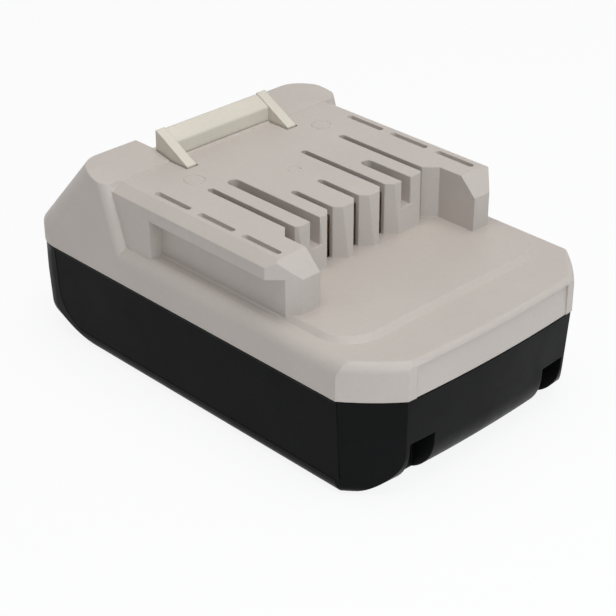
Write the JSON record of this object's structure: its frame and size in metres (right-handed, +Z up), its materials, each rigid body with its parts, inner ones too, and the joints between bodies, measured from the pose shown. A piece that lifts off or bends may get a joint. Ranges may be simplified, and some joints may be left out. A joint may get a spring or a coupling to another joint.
{
  "type": "power tool battery pack",
  "caption": "Slide-on battery pack for a cordless tool: grey railed upper case, black lower case with cells, and a sprung latch with a release button.",
  "frame": {"origin": "middle of the underside, at the bottom centre of the part's box", "axes": "+X towards the end that enters the tool first, +Y across the pack, +Z up towards the rails"},
  "size_m": [0.116, 0.075, 0.0536],
  "materials": {
    "case_grey": "fine satin moulded plastic",
    "case_black": "fine satin moulded plastic",
    "latch_cream": "smooth satin moulded plastic",
    "label_black": "smooth printed film, left bare of words",
    "spring_steel": "bright zinc plate",
    "cell_sleeve": "shrink sleeve",
    "ring_paper": "matt white",
    "frame_grey": "matt moulded plastic",
    "nickel": "bright rolled strip",
    "foam": "closed-cell foam",
    "sheet_paper": "fibre sheet",
    "board_green": "solder mask",
    "contact_brass": "tinned spring brass",
    "chip_black": "moulded epoxy",
    "capacitor_tan": "moulded epoxy"
  },
  "bodies": {
    "pack": {"upper_case": "case_grey", "lower_case": "case_black", "latch_spring_left": "spring_steel", "latch_spring_right": "spring_steel", "case_screws": "spring_steel", "cell_1": "cell_sleeve", "cell_2": "cell_sleeve", "cell_3": "cell_sleeve", "cell_4": "cell_sleeve", "cell_5": "cell_sleeve", "cell_rings": "ring_paper", "cell_frame_left": "frame_grey", "cell_frame_right": "frame_grey", "cell_link_12": "nickel", "cell_link_23": "nickel", "cell_link_34": "nickel", "cell_link_45": "nickel", "positive_tab": "nickel", "negative_tab": "nickel", "base_pad": "foam", "insulator_sheet": "sheet_paper", "circuit_board": "board_green", "board_screws": "spring_steel", "positive_terminal": "contact_brass", "signal_terminal": "contact_brass", "negative_terminal": "contact_brass", "terminal_carrier": "frame_grey", "controller_chip": "chip_black", "power_transistors": "chip_black", "shunt_resistor": "chip_black", "thermal_fuse": "ring_paper", "capacitors": "capacitor_tan", "thermistor": "chip_black", "side_label_left": "label_black", "side_label_right": "label_black"},
    "latch": {"latch": "latch_cream"}
  },
  "joints": [
    {"name": "latch_slide", "type": "slide", "parent": "pack", "child": "latch", "axis": [0, 0, -1], "range_m": [0, 0.006], "stiffness_N_per_m": 600, "springref_m": -0.004, "deforming": ["latch_spring_left", "latch_spring_right"]}
  ]
}
